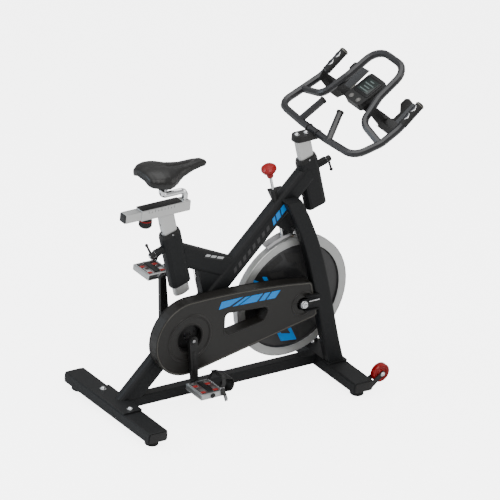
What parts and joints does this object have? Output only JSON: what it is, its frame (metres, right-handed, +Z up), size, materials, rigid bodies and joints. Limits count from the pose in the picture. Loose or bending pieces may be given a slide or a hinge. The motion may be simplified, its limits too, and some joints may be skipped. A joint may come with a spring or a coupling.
{
  "type": "exercise bike",
  "caption": "Indoor cycling bike with a front flywheel, a guarded belt drive, toe-clip pedals, adjustable saddle and looped handlebar, and a push-down brake knob.",
  "frame": {"origin": "on the floor, under the middle of the machine's bounding box", "axes": "+X towards the flywheel and handlebar (the rider faces +X), +Y to the rider's left, +Z up"},
  "size_m": [1.1183, 0.52, 1.1822],
  "materials": {
    "frame_paint": "satin charcoal powder coat",
    "arm_paint": "satin black",
    "bar_paint": "satin dark grey",
    "black_plastic": "satin moulded",
    "chrome": "satin chrome",
    "steel": "brushed",
    "flywheel_metal": "polished rim, black painted disc",
    "pedal_alloy": "cast",
    "rubber": "matte",
    "saddle_cover": "fine grain",
    "red_plastic": "gloss"
  },
  "bodies": {
    "frame": {"rear_stabilizer": "frame_paint", "front_stabilizer": "frame_paint", "rear_mount_plate": "frame_paint", "front_mount_plate": "frame_paint", "bottom_rail": "frame_paint", "main_tube": "frame_paint", "seat_sleeve": "frame_paint", "link_tube": "frame_paint", "gusset_box": "frame_paint", "head_sleeve": "frame_paint", "fork_leg_right": "frame_paint", "fork_leg_left": "frame_paint", "dropout_right": "steel", "dropout_left": "steel", "bottom_bracket_shell": "frame_paint", "seat_bushing": "black_plastic", "head_bushing": "black_plastic", "chain_guard_outer": "black_plastic", "chain_guard_inner": "black_plastic", "drive_belt": "rubber", "flywheel_axle": "steel", "brake_rod_sleeve": "frame_paint", "brake_bracket": "frame_paint", "wheel_bracket_right": "frame_paint", "wheel_bracket_left": "frame_paint"},
    "flywheel": {"flywheel": "flywheel_metal", "flywheel_pulley": "steel"},
    "crankset": {"crank_spindle": "steel", "drive_pulley": "black_plastic", "crank_arm_right": "arm_paint", "crank_arm_left": "arm_paint"},
    "pedal_right": {"pedal_right": "pedal_alloy", "toe_clip_right": "black_plastic"},
    "pedal_left": {"pedal_left": "pedal_alloy", "toe_clip_left": "black_plastic"},
    "seat_post": {"seat_post": "chrome", "slider_sleeve": "chrome"},
    "seat_slider": {"seat_slider": "chrome", "saddle_tube": "chrome"},
    "saddle": {"saddle": "saddle_cover", "saddle_clamp": "frame_paint"},
    "slider_knob": {"slider_knob": "rubber"},
    "seat_lock_lever": {"seat_lock_lever": "black_plastic"},
    "bar_lock_lever": {"bar_lock_lever": "black_plastic"},
    "handlebar": {"handlebar_post": "chrome", "stem_plate": "frame_paint", "handlebar": "bar_paint", "console_bracket": "black_plastic", "console": "black_plastic"},
    "button_left": {"button_left": "rubber"},
    "button_right": {"button_right": "rubber"},
    "brake_rod": {"brake_rod": "steel"},
    "resistance_knob": {"resistance_knob": "red_plastic"},
    "brake_arm": {"brake_arm": "steel"},
    "foot_rear_left": {"foot_rear_left": "rubber"},
    "foot_rear_right": {"foot_rear_right": "rubber"},
    "foot_front_left": {"foot_front_left": "rubber"},
    "foot_front_right": {"foot_front_right": "rubber"},
    "transport_wheel_left": {"transport_wheel_left": "red_plastic"},
    "transport_wheel_right": {"transport_wheel_right": "red_plastic"}
  },
  "joints": [
    {"name": "flywheel_spin", "type": "hinge", "parent": "frame", "child": "flywheel", "pos_m": [0.1975, 0, 0.323], "axis": [0, 1, 0], "continuous": true},
    {"name": "crank_spin", "type": "hinge", "parent": "frame", "child": "crankset", "pos_m": [-0.28127, 0, 0.29322], "axis": [0, 1, 0], "continuous": true},
    {"name": "pedal_right_spin", "type": "hinge", "parent": "crankset", "child": "pedal_right", "pos_m": [-0.25615, -0.162, 0.12508], "axis": [0, 1, 0], "continuous": true},
    {"name": "pedal_left_spin", "type": "hinge", "parent": "crankset", "child": "pedal_left", "pos_m": [-0.3064, 0.1425, 0.46135], "axis": [0, 1, 0], "continuous": true},
    {"name": "seat_post_slide", "type": "slide", "parent": "frame", "child": "seat_post", "axis": [-0.3007, 0, 0.9537], "range_m": [-0.05, 0.11]},
    {"name": "seat_slide", "type": "slide", "parent": "seat_post", "child": "seat_slider", "axis": [1, 0, 0], "range_m": [0, 0.055]},
    {"name": "saddle_tilt", "type": "hinge", "parent": "seat_slider", "child": "saddle", "pos_m": [-0.405, 0, 0.875], "axis": [0, 1, 0], "range_deg": [-10, 10]},
    {"name": "slider_knob_turn", "type": "hinge", "parent": "seat_post", "child": "slider_knob", "pos_m": [-0.4625, 0, 0.767], "axis": [0, 0, 1], "range_deg": [-270, 90]},
    {"name": "seat_lock_turn", "type": "hinge", "parent": "frame", "child": "seat_lock_lever", "pos_m": [-0.40954, 0, 0.61383], "axis": [-0.9537, 0, -0.3007], "range_deg": [-75, 75]},
    {"name": "bar_lock_turn", "type": "hinge", "parent": "frame", "child": "bar_lock_lever", "pos_m": [0.29361, 0, 0.82834], "axis": [0.9537, 0, 0.3007], "range_deg": [-75, 75]},
    {"name": "handlebar_post_slide", "type": "slide", "parent": "frame", "child": "handlebar", "axis": [-0.3007, 0, 0.9537], "range_m": [-0.055, 0.1]},
    {"name": "button_left_press", "type": "slide", "parent": "handlebar", "child": "button_left", "axis": [0.4924, 0, -0.8704], "range_m": [0, 0.0015], "stiffness_N_per_m": 300, "springref_m": -0.0015},
    {"name": "button_right_press", "type": "slide", "parent": "handlebar", "child": "button_right", "axis": [0.4924, 0, -0.8704], "range_m": [0, 0.0015], "stiffness_N_per_m": 300, "springref_m": -0.0015},
    {"name": "brake_press", "type": "slide", "parent": "frame", "child": "brake_rod", "axis": [0.3007, 0, -0.9537], "range_m": [0, 0.0035], "stiffness_N_per_m": 2500, "springref_m": -0.004},
    {"name": "brake_swing", "type": "hinge", "parent": "frame", "child": "brake_arm", "pos_m": [0.17478, 0, 0.57883], "axis": [0, -1, 0], "range_deg": [0, 5.28]},
    {"name": "resistance_turn", "type": "hinge", "parent": "brake_rod", "child": "resistance_knob", "pos_m": [0.06, 0, 0.816], "axis": [-0.3007, 0, 0.9537], "continuous": true},
    {"name": "foot_rear_left_turn", "type": "hinge", "parent": "frame", "child": "foot_rear_left", "pos_m": [-0.5125, 0.224, 0.011], "axis": [0, 0, 1], "range_deg": [-180, 180]},
    {"name": "foot_rear_right_turn", "type": "hinge", "parent": "frame", "child": "foot_rear_right", "pos_m": [-0.5125, -0.224, 0.011], "axis": [0, 0, 1], "range_deg": [-180, 180]},
    {"name": "foot_front_left_turn", "type": "hinge", "parent": "frame", "child": "foot_front_left", "pos_m": [0.3635, 0.224, 0.011], "axis": [0, 0, 1], "range_deg": [-180, 180]},
    {"name": "foot_front_right_turn", "type": "hinge", "parent": "frame", "child": "foot_front_right", "pos_m": [0.3635, -0.224, 0.011], "axis": [0, 0, 1], "range_deg": [-180, 180]},
    {"name": "transport_wheel_left_spin", "type": "hinge", "parent": "frame", "child": "transport_wheel_left", "pos_m": [0.4445, 0.239, 0.074], "axis": [0, 1, 0], "continuous": true},
    {"name": "transport_wheel_right_spin", "type": "hinge", "parent": "frame", "child": "transport_wheel_right", "pos_m": [0.4445, -0.239, 0.074], "axis": [0, 1, 0], "continuous": true}
  ],
  "couplings": [
    {"joint": "crank_spin", "follows": "flywheel_spin", "ratio": 0.30909},
    {"joint": "brake_swing", "follows": "brake_press", "rad_per_m": 26.213}
  ]
}
